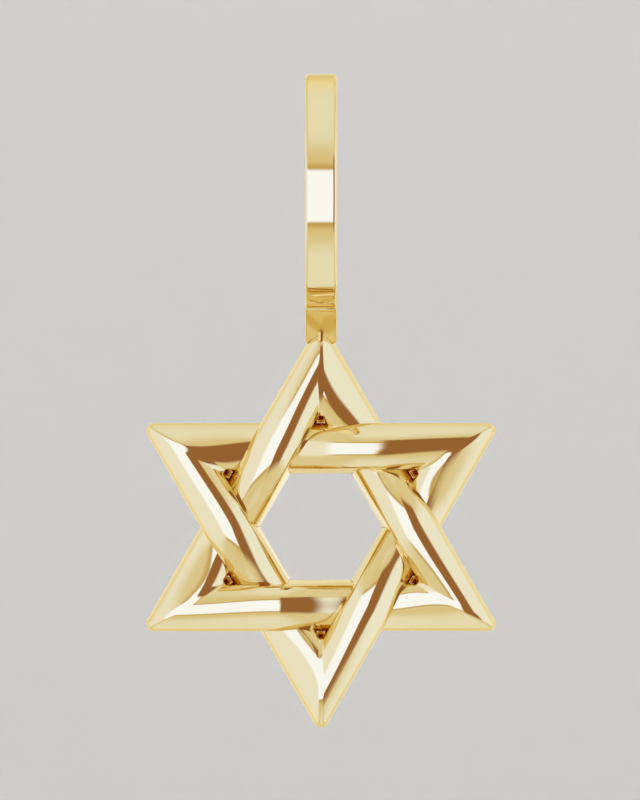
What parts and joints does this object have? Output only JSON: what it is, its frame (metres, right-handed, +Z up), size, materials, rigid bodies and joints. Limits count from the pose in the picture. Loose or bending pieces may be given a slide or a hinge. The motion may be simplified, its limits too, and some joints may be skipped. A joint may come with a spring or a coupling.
{
  "type": "star of david pendant",
  "caption": "Interlaced six-pointed star pendant of polished half-round gold bars under a round hoop bail with a saddle foot.",
  "frame": {"origin": "inside of the hoop's top, where the pendant hangs on a chain", "axes": "+Z up, the star's half-round front faces -Y, +X to the right as the wearer's audience sees it"},
  "size_m": [0.012, 0.0084, 0.0224],
  "materials": {
    "yellow_gold": "mirror polish"
  },
  "bodies": {
    "root": {"upright_triangle": "yellow_gold", "inverted_triangle": "yellow_gold", "bail_hoop": "yellow_gold", "bail_foot": "yellow_gold"}
  },
  "joints": []
}
